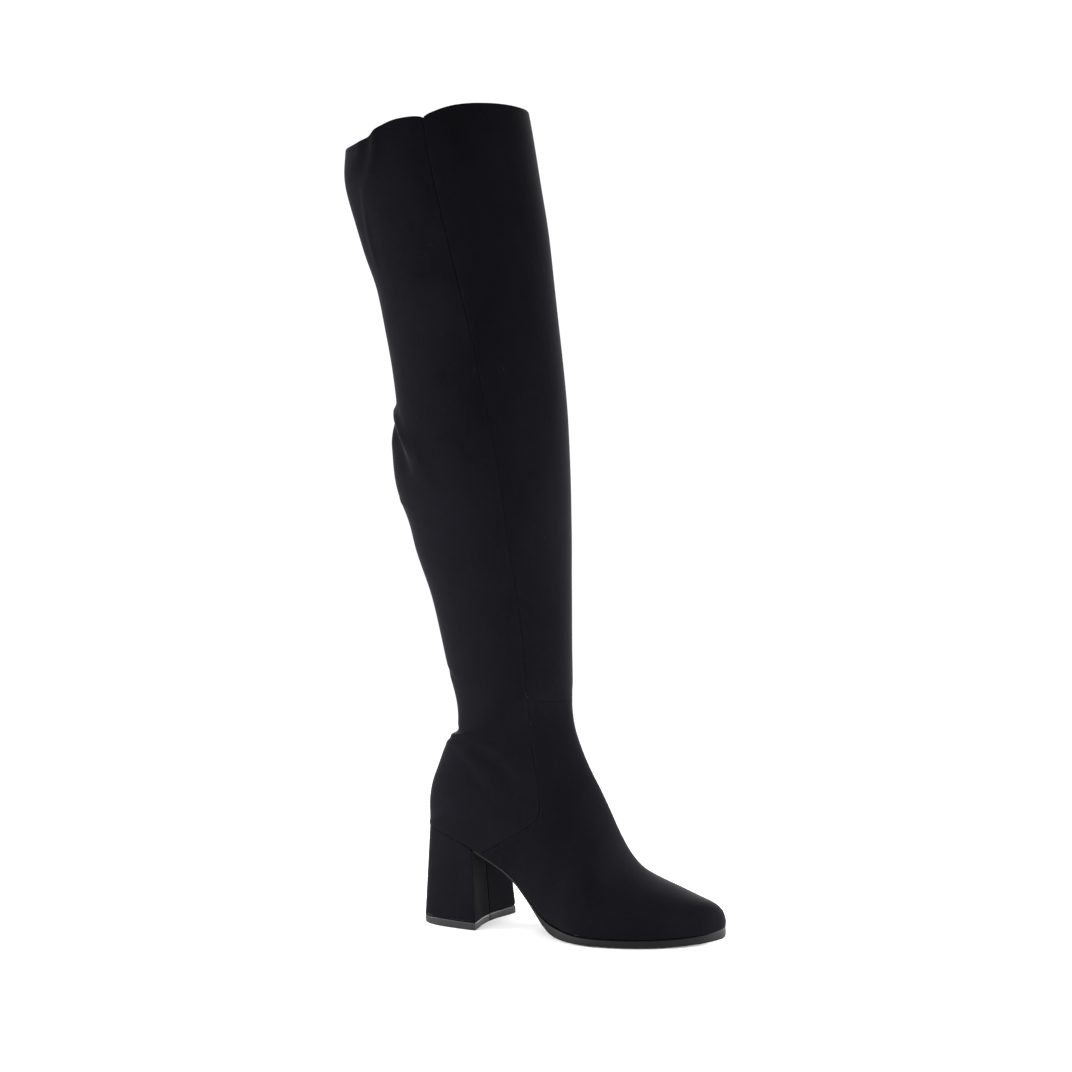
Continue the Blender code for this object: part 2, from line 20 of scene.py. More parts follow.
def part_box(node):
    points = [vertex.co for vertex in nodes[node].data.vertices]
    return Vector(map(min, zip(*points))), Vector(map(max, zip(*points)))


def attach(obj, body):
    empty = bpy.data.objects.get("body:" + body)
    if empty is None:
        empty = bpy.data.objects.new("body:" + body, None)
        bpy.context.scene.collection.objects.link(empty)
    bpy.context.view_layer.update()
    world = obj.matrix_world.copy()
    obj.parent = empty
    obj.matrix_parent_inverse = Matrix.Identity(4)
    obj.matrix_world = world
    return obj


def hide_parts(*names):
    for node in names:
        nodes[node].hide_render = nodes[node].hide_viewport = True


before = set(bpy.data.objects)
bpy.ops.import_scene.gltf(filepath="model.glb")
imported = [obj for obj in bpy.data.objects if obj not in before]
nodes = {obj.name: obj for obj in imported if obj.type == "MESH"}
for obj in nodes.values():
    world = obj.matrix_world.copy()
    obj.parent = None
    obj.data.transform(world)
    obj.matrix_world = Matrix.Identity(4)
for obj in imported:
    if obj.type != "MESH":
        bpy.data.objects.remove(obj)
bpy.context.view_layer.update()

MM = 0.001
UPPER_LENGTH = 240.4  # heel back to toe tip
HEEL_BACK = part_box("upper")[1].x / MM - UPPER_LENGTH
ORIGIN = np.array((HEEL_BACK, 0.0, 0.0))  # the heel's back, on the floor, in the frame


def in_frame(points):
    """Points in the boot's millimetres, as metres in the frame."""
    return (np.asarray(points, float) + ORIGIN) * MM


def in_boot(points):
    return np.asarray(points, float) / MM - ORIGIN


print("nodes:", ", ".join(sorted(nodes)))

# %% [markdown]
# ## Camera
# The camera stands a little over half the boot's height, to the outer side and in front, and is tipped slightly
# because the boot leans back. Its place is a point, and it is aimed with three axes instead of angles: one
# forwards, one to the right, one up, with the roll turning the last two.

# %% Camera
CAMERA_PLACE = (793.8, -1202.9, 355.0)
CAMERA_AIM = (93.75, 9.54, 300.0)
CAMERA_ROLL = -1.5
CAMERA_LENS = 61.455

place, aim = (Vector(in_frame(point)) for point in (CAMERA_PLACE, CAMERA_AIM))
forward = (aim - place).normalized()
level_right = forward.cross(Vector((0, 0, 1))).normalized()
level_up = level_right.cross(forward)
roll = math.radians(CAMERA_ROLL)
right = level_right * math.cos(roll) + level_up * math.sin(roll)
up = level_up * math.cos(roll) - level_right * math.sin(roll)

bpy.ops.object.camera_add()
camera = bpy.context.object
camera.data.lens = CAMERA_LENS
camera.data.sensor_width = 36.0
camera.data.clip_end = 100.0
camera.matrix_world = Matrix.Translation(place) @ Matrix((right, up, -forward)).transposed().to_4x4()
bpy.context.scene.camera = camera
print("camera at", [round(value, 3) for value in place])

# %% [markdown]
# ## The form that the panels are laid on
# On a real boot the fabric is pulled over a last and a leg form, and it shows their curves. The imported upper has
# those curves as flat facets. A merged copy of it is smoothed with a Subdivision Surface, with its open edges
# creased so that they stay where they are. The copy is only a form to lay things on, and it is removed again.

# %% The last and leg form
RIM_ANGLE = math.radians(70)
QUAD_ANGLE = math.radians(60)
WELD = 0.02 * MM
FORM_LEVELS = 3
ANKLE_Z = 200  # the lower rims are all below this
THIGH_Z = 500  # and the collar's are above this
OUTWARDS = (bpy.ops.mesh.normals_make_consistent, {"inside": False})


def only(piece):
    """Makes this the one selected object, so that an operator acts on nothing else."""
    for other in bpy.context.selected_objects:
        other.select_set(False)
    piece.select_set(True)
    bpy.context.view_layer.objects.active = piece


def apply_modifier(piece, kind, **settings):
    only(piece)
    modifier = piece.modifiers.new(kind.lower(), kind)
    for name, value in settings.items():
        setattr(modifier, name, value)
    bpy.ops.object.modifier_apply(modifier=modifier.name)


def edit_all(piece, *steps):
    """Selects all of a piece in edit mode and runs these operators there, each given with its settings."""
    only(piece)
    bpy.ops.object.mode_set(mode="EDIT")
    bpy.ops.mesh.select_all(action="SELECT")
    for operator, settings in steps:
        operator(**settings)
    bpy.ops.object.mode_set(mode="OBJECT")


def merged_copy(node, name):
    """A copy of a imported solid, with its loose triangles joined into quads."""
    piece = bpy.data.objects.new(name, nodes[node].data.copy())
    bpy.context.collection.objects.link(piece)
    quads = {"face_threshold": QUAD_ANGLE, "shape_threshold": QUAD_ANGLE}
    edit_all(piece, (bpy.ops.mesh.remove_doubles, {"threshold": WELD}), (bpy.ops.mesh.tris_convert_to_quads, quads))
    piece.data.materials.clear()
    return piece


def crease_edges(piece, angle, crease=1.0):
    """Creases every edge sharper than this angle, and gives the loops that they make, in the boot's millimetres."""
    shape = bmesh.new()
    shape.from_mesh(piece.data)
    layer = shape.edges.layers.float.new("crease_edge")
    sharp = {edge for edge in shape.edges if len(edge.link_faces) == 2 and edge.calc_face_angle() > angle}
    for edge in sharp:
        edge[layer] = crease
    loops = []
    while sharp:
        edge = sharp.pop()
        chain = list(edge.verts)
        while True:
            onward = [e for e in chain[-1].link_edges if e in sharp]
            if not onward:
                break
            edge = onward[0]
            sharp.remove(edge)
            chain.append(edge.other_vert(chain[-1]))
        loops.append(in_boot([vertex.co[:] for vertex in chain]))
    shape.to_mesh(piece.data)
    shape.free()
    return loops


def length_of(line):
    return float(np.linalg.norm(np.diff(line, axis=0), axis=1).sum())


def runs_of(line):
    """The distance of each point along its line."""
    return np.concatenate(([0.0], np.cumsum(np.linalg.norm(np.diff(line, axis=0), axis=1))))


def unit(vectors):
    return vectors / np.linalg.norm(vectors, axis=-1, keepdims=True)


form = merged_copy("upper", "form")
rims = sorted(crease_edges(form, RIM_ANGLE), key=length_of)
feather_edge = max((line for line in rims if line[:, 2].max() < ANKLE_Z), key=length_of)
form_top = max((line for line in rims if line[:, 2].min() > THIGH_Z), key=length_of)
apply_modifier(form, "SUBSURF", levels=FORM_LEVELS, render_levels=FORM_LEVELS)
print("form", len(form.data.polygons), "faces, its lower edge", round(length_of(feather_edge)), "mm")

# %% Reading the form's skin
form_points = in_boot([vertex.co[:] for vertex in form.data.vertices])
form_normals = np.array([vertex.normal[:] for vertex in form.data.vertices])
form_faces = [tuple(face.vertices) for face in form.data.polygons]
form_skin = BVHTree.FromPolygons(form_points.tolist(), form_faces)
MISSED_REACH = 30.0  # out from the origin, where the nearest skin is taken if a line misses the form
FORM_SHRINK = 0.25  # how far the smoothing draws the form in, given back to everything laid on it


def read(table, places):
    """A smooth curve through the rows of a two-column table, read at these places."""
    xs, ys = np.array(table, float).T
    slopes = np.gradient(ys, xs)
    places = np.clip(places, xs[0], xs[-1])
    index = np.clip(np.searchsorted(xs, places, side="right") - 1, 0, len(xs) - 2)
    step = xs[index + 1] - xs[index]
    share = (places - xs[index]) / step
    start = (1 + 2 * share) * (1 - share) ** 2 * ys[index] + share * (1 - share) ** 2 * step * slopes[index]
    end = share**2 * (3 - 2 * share) * ys[index + 1] + share**2 * (share - 1) * step * slopes[index + 1]
    return start + end


def skin_normal(point, face):
    corners = list(form_faces[face])
    away = np.linalg.norm(form_points[corners] - point, axis=1)
    normal = (form_normals[corners] / (away[:, None] ** 2 + 1e-3)).sum(0)
    return normal / np.linalg.norm(normal)


def cast_on_form(origin, outwards, reach=260.0):
    """Where a line comes in onto the form's outside, towards an origin inside it, and the normal there."""
    outwards = Vector(outwards).normalized()
    point, _, face, _ = form_skin.ray_cast(Vector(origin) + outwards * reach, -outwards)
    if point is None:
        point, _, face, _ = form_skin.find_nearest(Vector(origin) + outwards * MISSED_REACH)
    normal = skin_normal(np.array(point), face)
    return np.array(point) + normal * FORM_SHRINK, normal


print("the form's skin has", len(form_faces), "faces")

# %% [markdown]
# ## Where the seams run
# A pattern cutter would draw the seams on the last. Here each one is a short table of a bearing round the leg
# for each height. Bearing 0 looks forwards, 90 to the outer side, and 180 back. The side seam hooks forwards
# over the foot at its lower end, and comes down to the front corner of the heel.

# %% Seam tables
LEG_MIDDLE = (
    # height, x
    (0.0, 62.0), (100.0, 62.0), (150.0, 76.0), (190.0, 76.0), (300.0, 64.0),
    (380.0, 53.0), (460.0, 47.0), (560.0, 28.0), (640.0, 16.0),
)
SIDE_SEAM = (
    # height, bearing
    (58.5, 93.0), (60.5, 84.0), (64.0, 71.0), (69.4, 56.5), (73.6, 47.5), (77.6, 40.5), (82.6, 34.2), (86.6, 30.6),
    (89.6, 29.0), (93.0, 28.0), (98.0, 27.4), (104.0, 27.4), (111.0, 28.0), (122.0, 30.2), (131.0, 33.2),
    (140.0, 36.2), (150.0, 39.2), (160.0, 42.0), (172.0, 44.8), (184.0, 46.2), (200.0, 46.6), (220.0, 46.8),
    (254.0, 47.6), (279.0, 48.6), (300.0, 49.6), (330.0, 49.8), (356.0, 49.9), (382.0, 51.0), (400.0, 53.6),
    (446.0, 58.8), (471.0, 61.6), (505.0, 63.3), (535.0, 64.2), (557.0, 65.1), (589.0, 66.4), (625.0, 67.0),
)
VAMP_TOP_SEAM = (
    # bearing, height
    (-2.0, 177.0), (2.0, 177.0), (10.0, 177.3), (18.0, 177.6), (27.0, 178.1), (34.0, 178.9), (38.0, 180.0),
    (42.0, 182.0), (46.2, 185.6),
)
COLLAR_EDGE = (
    # bearing, height: a lobe over each side panel, a notch at the seam, and a dip where the back folds in
    (-1.0, 624.0), (1.0, 624.0), (12.0, 624.2), (26.0, 624.1), (36.0, 623.6), (44.0, 622.6), (52.0, 620.8),
    (58.0, 618.8), (63.0, 616.9), (65.6, 615.4), (67.0, 614.2), (68.4, 615.0), (72.0, 615.8), (78.0, 616.1),
    (84.0, 615.9), (90.0, 615.4), (96.0, 614.2), (102.0, 612.4), (107.0, 610.4), (110.0, 609.0), (113.0, 607.7),
    (117.0, 606.2), (124.0, 604.6), (136.0, 603.6), (148.0, 603.2), (156.0, 603.3), (166.0, 603.6), (180.0, 603.8),
)


def bearings_of(line):
    return np.degrees(np.arctan2(-line[:, 1], line[:, 0] - read(LEG_MIDDLE, line[:, 2])))


top_bearings = bearings_of(form_top)
by_bearing = np.argsort(top_bearings)
SEAT_BEARINGS = (70, 290)  # the heel seat's edge lies between these
SEAT_BACK = (120.0, 240.0)  # and keeps its own height between these
SEAT_FRONT_X = 75
TOP_MARGIN = 1.5  # below the form's own top, from where its wall is carried on straight


def on_leg(bearing, height):
    """The form's skin at this bearing and height: a point and its normal. A minus bearing is the inner side."""
    turn = math.radians(bearing)
    outwards = (math.cos(turn), -math.sin(turn), 0.0)
    wrapped = (bearing + 180) % 360 - 180
    limit = np.interp(wrapped, top_bearings[by_bearing], form_top[by_bearing, 2], period=360) - TOP_MARGIN
    level = min(height, limit)
    point, normal = cast_on_form((float(read(LEG_MIDDLE, level)), 0.0, level), outwards)
    if height > limit:
        slope = normal[2] / math.hypot(normal[0], normal[1])
        point = point + np.array((*(-slope * unit(normal[:2])), 1.0)) * (height - limit)
    return point, normal


def edge_table(line):
    """The height of a lower edge by its bearing, round the back of the heel."""
    bearings = bearings_of(line) % 360
    rows = sorted(zip(bearings.tolist(), line[:, 2].tolist()))
    return np.array([row for row in rows if SEAT_BEARINGS[0] < row[0] < SEAT_BEARINGS[1]])


seat_heights = edge_table(feather_edge[feather_edge[:, 0] < SEAT_FRONT_X])


def collar_height(bearing):
    return float(read(COLLAR_EDGE, min(abs(bearing), abs(360.0 - bearing))))


def seat_height(bearing):
    """The height of the heel seat, drawn to the seam's foot on both sides and level in the seam's hook."""
    height, foot = SIDE_SEAM[0]
    ends = np.array((foot, 360 - foot))
    if not ends[0] < bearing < ends[1]:
        return height
    outer_miss, inner_miss = height - np.interp(ends, *seat_heights.T)
    drawn = np.interp(bearing, (ends[0], *SEAT_BACK, ends[1]), (outer_miss, 0.0, 0.0, inner_miss))
    return float(np.interp(bearing, *seat_heights.T) + drawn)


def back_top_height(bearing):
    """The height of the back panel's top. In the seam's hook it stays as it is at the seam's top."""
    top = SIDE_SEAM[-1][1]
    return collar_height(min(max(bearing, top), 360 - top))


print("collar from", collar_height(180), "at the back to", collar_height(0), "in front")

# %% [markdown]
# ## Soft creases
# The CAD form has the large folds. The fabric also breaks in smaller soft troughs and ridges, at the ankle, behind
# the knee and under the collar. Each is a row of a table: its width, how far it pushes the fabric out or in, and
# its path round the leg. All panels are pushed alike, so a crease runs on across a seam.

# %% The table of creases
CREASES = (
    # name, half width, push, path of (bearing, height)
    ("shelf over the heel", 1.9, 1.4, ((205, 145.5), (178, 146.5), (158, 147.5), (142, 148.6), (129, 150.2),
        (116, 152.1), (102, 153.6), (92, 154.6))),
    ("under the leg", 2.8, -1.5, ((205, 152.2), (180, 152.2), (160, 152.4), (142, 153.0), (129, 154.6),
        (112, 157.2), (100, 159.0))),
    ("below the shelf", 2.0, -0.5, ((205, 144.6), (170, 144.6), (150, 145.4), (138, 146.0), (126, 146.8),
        (114, 148.4), (104, 148.8))),
    ("ankle ridge", 2.8, 0.8, ((205, 143.0), (170, 143.0), (145, 143.4), (135, 143.2), (125, 144.0),
        (111, 145.2), (99, 143.0), (84, 139.6), (65, 135.0), (50, 131.6))),
    ("ankle trough", 6.5, -1.3, ((130, 141.0), (115, 140.0), (98, 135.0), (80, 130.6), (65, 124.0), (51, 115.6),
        (40, 107.0), (32, 98.0))),
    ("ridge between", 4.0, 0.4, ((136, 142.0), (128, 140.0), (115, 131.4), (96, 124.3), (80, 117.1),
        (68, 110.0))),
    ("heel trough", 4.0, -0.8, ((152, 143.0), (144, 140.4), (134, 133.8), (122, 127.2), (110, 117.5),
        (84, 108.9), (60, 100.0))),
    ("knee ridge", 3.6, 2.7, ((215, 404.5), (180, 403.0), (164, 399.5), (154, 393.0), (144, 383.5),
        (137, 377.0), (132, 369.5), (129, 362.0), (127, 356.0))),
    ("knee fold", 6.0, 1.1, ((142, 390.0), (132, 380.0), (126, 372.6), (122, 366.5), (119, 360.0), (117, 354.0),
        (113, 342.0), (110, 332.0))),
    ("knee hollow", 4.6, -1.4, ((168, 391.0), (158, 386.5), (150, 380.5), (143, 373.0), (140, 366.0),
        (137, 358.0), (134, 350.0), (130, 342.0))),
    ("knee bulge", 5.5, 1.4, ((215, 391.5), (180, 391.0), (170, 387.0), (162, 380.0), (156, 371.0),
        (151, 359.0))),
    ("collar ridge", 2.8, 1.3, ((107, 650.0), (108, 605.6), (109, 598.1), (111, 587.7), (114, 581.3),
        (118, 575.0), (124, 570.4), (131, 565.0), (135, 556.0))),
    ("lower collar ridge", 2.2, 0.7, ((128, 572.0), (131, 565.0), (134, 556.0), (137, 546.0), (139, 534.0),
        (140, 520.0), (140, 500.0))),
    ("collar hollow", 4.2, -1.6, ((117, 650.0), (118, 604.0), (120, 596.0), (124, 588.0), (130, 580.0),
        (137, 570.0))),
    ("thigh swell", 14.0, 2.0, ((158, 490.0), (157, 515.0), (156, 540.0), (155, 565.0), (154, 590.0),
        (153, 610.0))),
    ("calf kink", 2.4, 0.5, ((172, 331.0), (158, 328.6), (146, 326.0), (134, 320.0))),
    ("shin kink", 2.6, -0.6, ((178, 199.5), (164, 198.0), (152, 195.5), (138, 190.0))),
)
LEG_RADIUS = 40.0  # turns a bearing into a length round the leg
INNER_SHARE = 0.4  # the inner side creases less
SIDE_CHANGE = 12.0  # from the middle plane, over which one side's share runs into the other's
TAPER = 0.3  # share of a crease's length in which it fades out, at each end


CORNER_BEARING = 150.0  # the free back corner of the collar, which stands out to the side
CORNER_HALF_WIDTH = 19.0
CORNER_HEIGHTS = (552.0, 596.0)  # where it starts, and where it is full
CORNER_PUSH = 9.6
CORNER_WAY = math.radians(57)  # the bearing that it is pushed towards


def crease_depth(points):
    """How far the creases push each of these points out or in."""
    bearings = bearings_of(points)
    spots = np.stack((np.radians(np.abs(bearings)) * LEG_RADIUS, points[:, 2]), axis=1)
    depth = np.zeros(len(points))
    for _, half_width, push, path in CREASES:
        line = np.array(path, float) * (math.radians(1) * LEG_RADIUS, 1.0)
        run = runs_of(line)
        away = np.full(len(points), 1e3)
        share = np.zeros(len(points))
        for start, end, passed in zip(line, line[1:], run):
            leg = end - start
            along = np.clip((spots - start) @ leg / (leg @ leg), 0.0, 1.0)
            distance = np.linalg.norm(spots - start - along[:, None] * leg, axis=1)
            nearer = distance < away
            away = np.where(nearer, distance, away)
            share = np.where(nearer, (passed + along * np.linalg.norm(leg)) / run[-1], share)
        fade = np.clip(np.minimum(share, 1 - share) / TAPER, 0.0, 1.0)
        depth += push * fade**2 * (3 - 2 * fade) * np.exp(-((away / half_width) ** 2))
    return depth * np.interp(points[:, 1], (-SIDE_CHANGE, SIDE_CHANGE), (1.0, INNER_SHARE))


def creased(points, normals):
    """Points pushed along their normals by the creases, and the collar's back corner pushed to the side."""
    rise = np.clip((points[:, 2] - CORNER_HEIGHTS[0]) / (CORNER_HEIGHTS[1] - CORNER_HEIGHTS[0]), 0.0, 1.0)
    share = np.exp(-(((bearings_of(points) - CORNER_BEARING) / CORNER_HALF_WIDTH) ** 2)) * rise**2 * (3 - 2 * rise)
    way = np.array((math.cos(CORNER_WAY), -math.sin(CORNER_WAY), 0.0))
    return points + normals * crease_depth(points)[:, None] + way * CORNER_PUSH * share[:, None]


print(len(CREASES), "creases")

# %% [markdown]
# ## How a panel is made
# A grid primitive with enough rows and columns is laid on the form, point by point, like cloth pinned to a
# last. Its rows and columns lie closer together beside a seam, where the fabric dips in. At a seam the fabric
# turns inwards as a short allowance, so no light comes through. Then the panel gets its thickness with a Solidify
# modifier.

# %% Evenly spaced rows
EDGE_STEPS = np.array((0.0, 0.3, 0.65, 1.05, 1.5, 2.1, 3.0, 4.3, 6.2))  # distances from a seam that get a row
ROW_STEP = 2.45


def resampled(line, places, values=None):
    """The line's points, or values that belong to them, at these distances along it."""
    run = runs_of(np.asarray(line))
    return np.array([np.interp(places, run, axis) for axis in np.asarray(line if values is None else values).T]).T


def spread(length, middle_count):
    """Distances from 0 to a length, close together near both ends."""
    near = EDGE_STEPS * min(1.0, length / (4 * EDGE_STEPS[-1]))
    middle = np.linspace(near[-1], length - near[-1], middle_count + 2)[1:-1]
    return np.concatenate((near, middle, length - near[::-1]))


def evened(lines):
    """Dense lines of points and normals, all resampled to the same number of points."""
    middle_count = int(max(length_of(points) for points, _ in lines) / ROW_STEP)
    rows = [spread(length_of(points), middle_count) for points, _ in lines]
    points = np.array([resampled(line, row) for (line, _), row in zip(lines, rows)])
    normals = np.array([resampled(line, row, normals) for (line, normals), row in zip(lines, rows)])
    return points, unit(normals)


# %% Seam dips
SEAM_DEPTHS = ((57.0, 0.8), (84.0, 0.7), (100.0, 0.45), (190.0, 0.34), (625.0, 0.34))  # by height
TOP_SEAM_DEPTH = 0.12
SEAM_HALF_WIDTH = 0.5
SEAM_PUFF = 0.1
PUFF_DISTANCE = 1.6
PUFF_HALF_WIDTH = 0.9
ALLOWANCE = 1.3  # how far the fabric goes on inwards at a seam
SEAM_SPACING = 0.4  # between the points that stand for a seam


def seam_line(bearings, heights):
    """The points of a seam, and the form's normals there."""
    return tuple(np.array(part) for part in zip(*map(on_leg, bearings, heights)))


def seam_bearing(height):
    return float(read(SIDE_SEAM, height))


def vamp_top_height(bearing):
    return float(read(VAMP_TOP_SEAM, min(abs(bearing), VAMP_TOP_SEAM[-1][0])))


SEAM_FOOT = SIDE_SEAM[0][0]  # the seam's lower end, at the front corner of the heel
SEAM_TOP = 613.6
VAMP_CORNER = VAMP_TOP_SEAM[-1][1]
heights = np.arange(SEAM_FOOT, SEAM_TOP, SEAM_SPACING)
side_bearings = read(SIDE_SEAM, heights)
across = np.arange(-seam_bearing(VAMP_CORNER), seam_bearing(VAMP_CORNER), SEAM_SPACING)
outer_seam, outer_normals = seam_line(side_bearings, heights)
inner_seam, inner_normals = seam_line(-side_bearings, heights)
top_seam, _ = seam_line(across, [vamp_top_height(bearing) for bearing in across])

all_seams = np.vstack((outer_seam, inner_seam, top_seam))
side_depths = np.interp(heights, *np.array(SEAM_DEPTHS).T)
seam_depths = np.concatenate((side_depths, side_depths, np.full(len(top_seam), TOP_SEAM_DEPTH)))
seam_finder = KDTree(len(all_seams))
for index, point in enumerate(all_seams):
    seam_finder.insert(point, index)
seam_finder.balance()


def seam_dip(points):
    """How far the fabric dips in or puffs out at these points, by their distance from the nearest seam."""
    found = [seam_finder.find(point)[1:] for point in points.reshape(-1, 3)]
    index = np.array([which for which, _ in found])
    distance = np.array([away for _, away in found])
    puff = SEAM_PUFF * np.exp(-(((distance - PUFF_DISTANCE) / PUFF_HALF_WIDTH) ** 2))
    dip = seam_depths[index] * np.exp(-((distance / SEAM_HALF_WIDTH) ** 2))
    return (puff - dip).reshape(points.shape[:-1])


print("side seam", round(length_of(outer_seam)), "mm, vamp top seam", round(length_of(top_seam)), "mm")

# %% Laying a grid
TUCK_RADIUS = 0.7  # the round where a panel turns under, onto the insole
TUCK = 2.2


def dressed(points, normals, from_sole=None):
    """Points pushed in and out by the seams and the creases, and rounded where they turn under the foot."""
    push = seam_dip(points)
    if from_sole is not None:
        short = np.clip(1 - from_sole / TUCK_RADIUS, 0.0, 1.0)
        push -= TUCK_RADIUS * (1 - np.sqrt(1 - short**2))
    pushed = creased(points.reshape(-1, 3), normals.reshape(-1, 3)).reshape(points.shape)
    return pushed + normals * push[..., None]


def turned_in(points, normals, first, depth, axis):
    """Adds a row or column past an edge, turned inwards."""
    edge = (slice(0, 1) if first else slice(-1, None),)
    edge = edge if axis == 0 else (slice(None), *edge)
    more = points[edge] - normals[edge] * depth
    parts = (more, points) if first else (points, more)
    turned = (normals[edge], normals) if first else (normals, normals[edge])
    return np.concatenate(parts, axis=axis), np.concatenate(turned, axis=axis)


def laid_grid(name, points):
    """A grid primitive with its vertices moved to these rows of points, and a UV map in real lengths."""
    rows, columns = points.shape[:2]
    bpy.ops.mesh.primitive_grid_add(x_subdivisions=columns - 1, y_subdivisions=rows - 1, size=1.0)
    piece = bpy.context.object
    piece.name = name
    flat = np.array([vertex.co[:2] for vertex in piece.data.vertices]) + 0.5
    column = np.rint(flat[:, 0] * (columns - 1)).astype(int)
    row = np.rint(flat[:, 1] * (rows - 1)).astype(int)
    piece.data.vertices.foreach_set("co", in_frame(points[row, column]).astype(np.float32).ravel())
    across = np.linalg.norm(np.diff(points, axis=1), axis=2)
    along = np.linalg.norm(np.diff(points, axis=0), axis=2)
    u = np.concatenate((np.zeros((rows, 1)), np.cumsum(across, axis=1)), axis=1)
    v = np.concatenate((np.zeros((1, columns)), np.cumsum(along, axis=0)), axis=0)
    u -= u[:, columns // 2, None]
    corner = np.array([loop.vertex_index for loop in piece.data.loops])
    lengths = np.stack((u[row[corner], column[corner]], v[row[corner], column[corner]]), axis=1)
    piece.data.uv_layers[0].data.foreach_set("uv", (lengths * MM).astype(np.float32).ravel())
    piece.data.update()
    return piece


# %% [markdown]
# ## Front and back shaft panels
# Both panels are read off the leg at one height after another. A row starts at the outer side seam and ends at
# the inner one, either round the front or round the back. The collar is a plain folded edge: the rows go on over
# a small round and down the inside as a hem.

# %% Rows of the shaft
FOLD_RADIUS = 1.3  # of the folded edge
FOLD_STEPS = 6
HEM_DEPTH = 12.0
HEM_STEPS = 5
RIM_DROP = FOLD_RADIUS + 0.1  # from the top of the fold down to where the panel's own rows end
LAP = 0.6  # how far the front panel laps over the vamp's top
ROW_SAMPLES = 141
ANKLE_ROWS = (64.0, 102.0)  # heights over the back panel's foot where the folds are sharpest: twice as many rows


def shaft_rows(bearings_at, low_at, top_at, seam_low, fine=(0.0, 0.0)):
    """Rows of points and normals from a panel's lower edge to the collar, between the two side seams."""
    seam_high = collar_height(seam_bearing(SEAM_TOP)) - RIM_DROP
    length = seam_high - seam_low
    near_top = length - EDGE_STEPS[3:0:-1]
    middle = np.arange(EDGE_STEPS[-1], near_top[0], ROW_STEP)[1:]
    heights = np.concatenate((EDGE_STEPS, middle, near_top, [length]))
    between = (heights[:-1] + heights[1:]) / 2
    heights = np.sort(np.concatenate((heights, between[(between > fine[0]) & (between < fine[1])])))
    rows = []
    for height in heights:
        row = []
        for bearing in np.linspace(*bearings_at(seam_low + height), ROW_SAMPLES):
            low, high = low_at(bearing), top_at(bearing) - RIM_DROP
            row.append(on_leg(bearing, low + (high - low) * height / length))
        rows.append(tuple(np.array(column) for column in zip(*row)))
    points, normals = evened(rows)
    return points, normals, heights


def with_hem(points, normals):
    """Rows added on top: over the folded edge and down the inside."""
    outwards = unit(normals[-1] * (1.0, 1.0, 0.0))
    upwards = np.array((0.0, 0.0, 1.0))
    rows = list(points)
    for step in range(1, FOLD_STEPS + 1):
        turn = math.pi * step / FOLD_STEPS
        rows.append(points[-1] + FOLD_RADIUS * (upwards * math.sin(turn) - outwards * (1 - math.cos(turn))))
    inside = rows[-1]
    for step in range(1, HEM_STEPS + 1):
        rows.append(inside - upwards * HEM_DEPTH * step / HEM_STEPS)
    return np.array(rows)


def back_bearings(height):
    return seam_bearing(height), 360.0 - seam_bearing(height)


def front_bearings(height):
    return -seam_bearing(height), seam_bearing(height)


def front_low_height(bearing):
    return vamp_top_height(bearing) - LAP


hem_lines = []


def shaft_panel(name, points, normals, foot_depth, from_sole=None):
    """The panel itself: dipped at its seams, hemmed at the collar and turned in along its other edges."""
    points = dressed(points, normals, from_sole)
    points, normals = turned_in(points, normals, True, foot_depth, 0)
    for first in (True, False):
        points, normals = turned_in(points, normals, first, ALLOWANCE, 1)
    rows = with_hem(points, normals)
    hem_lines.append((rows[-2, 1:-1], -unit(normals[-1, 1:-1] * (1.0, 1.0, 0.0))))
    return laid_grid(name, rows)


back, back_normals, back_heights = shaft_rows(back_bearings, seat_height, back_top_height, SEAM_FOOT, ANKLE_ROWS)
front, front_normals, _ = shaft_rows(front_bearings, front_low_height, collar_height, VAMP_CORNER)
back_panel = shaft_panel("back_panel", back, back_normals, TUCK, back_heights[:, None])
front_panel = shaft_panel("front_shaft_panel", front, front_normals, ALLOWANCE)
print("rows and columns: back", back.shape[:2], "front", front.shape[:2])
print("the back panel ends off the seam's foot by", np.round(back[0, 0] - outer_seam[0], 2), "mm")

# %% [markdown]
# ## Vamp
# The vamp is a U-shaped band. Its lower edge follows the sole from one corner of the heel round the toe to the
# other, and its upper edge is the seam with the shaft. So its columns run from a point on the lower edge to a
# point on the seam, and each is cast onto the form from a line of points inside the foot. At its top it goes in
# under the front shaft panel, whose edge laps over it.

# %% The vamp's two edges
FOOT_CORE = (
    # x, y, z: points inside the foot, from the toe to the ankle
    (212.0, 11.0, 19.0), (185.0, 8.0, 24.0), (160.0, 5.0, 34.0), (135.0, 3.0, 55.0),
    (112.0, 2.0, 80.0), (95.0, 0.0, 110.0), (84.0, 0.0, 145.0), (80.0, 0.0, 190.0),
)
COLUMN_SAMPLES = 60
SEAM_GAP = 0.3  # the vamp stops short of its seam by this. At its top that end is hidden under the lap
LAP_SINK = 0.5  # under the shaft's edge, which laps over the vamp's top
LAP_RUN = 0.8
FIRST_COLUMN = 0.35  # share of a column's width between the vamp's corner and its first column
TOE_TIP = (240.0, 10.0, 22.0)
TOE_FULLNESS = 1.7  # the puff that stiffens the toe holds the fabric this much further out
TOE_REACH = 20.0


def lower_edge_from(line, back_x):
    """The lower edge of the vamp, from the outer corner of the heel round the toe to the inner one."""
    line = line[:-1] if np.allclose(line[0], line[-1]) else line
    line = np.roll(line, -int(np.argmin(line[:, 0])), axis=0)
    if line[len(line) // 4, 1] > 0:
        line = line[::-1]
    return line[line[:, 0] > back_x]


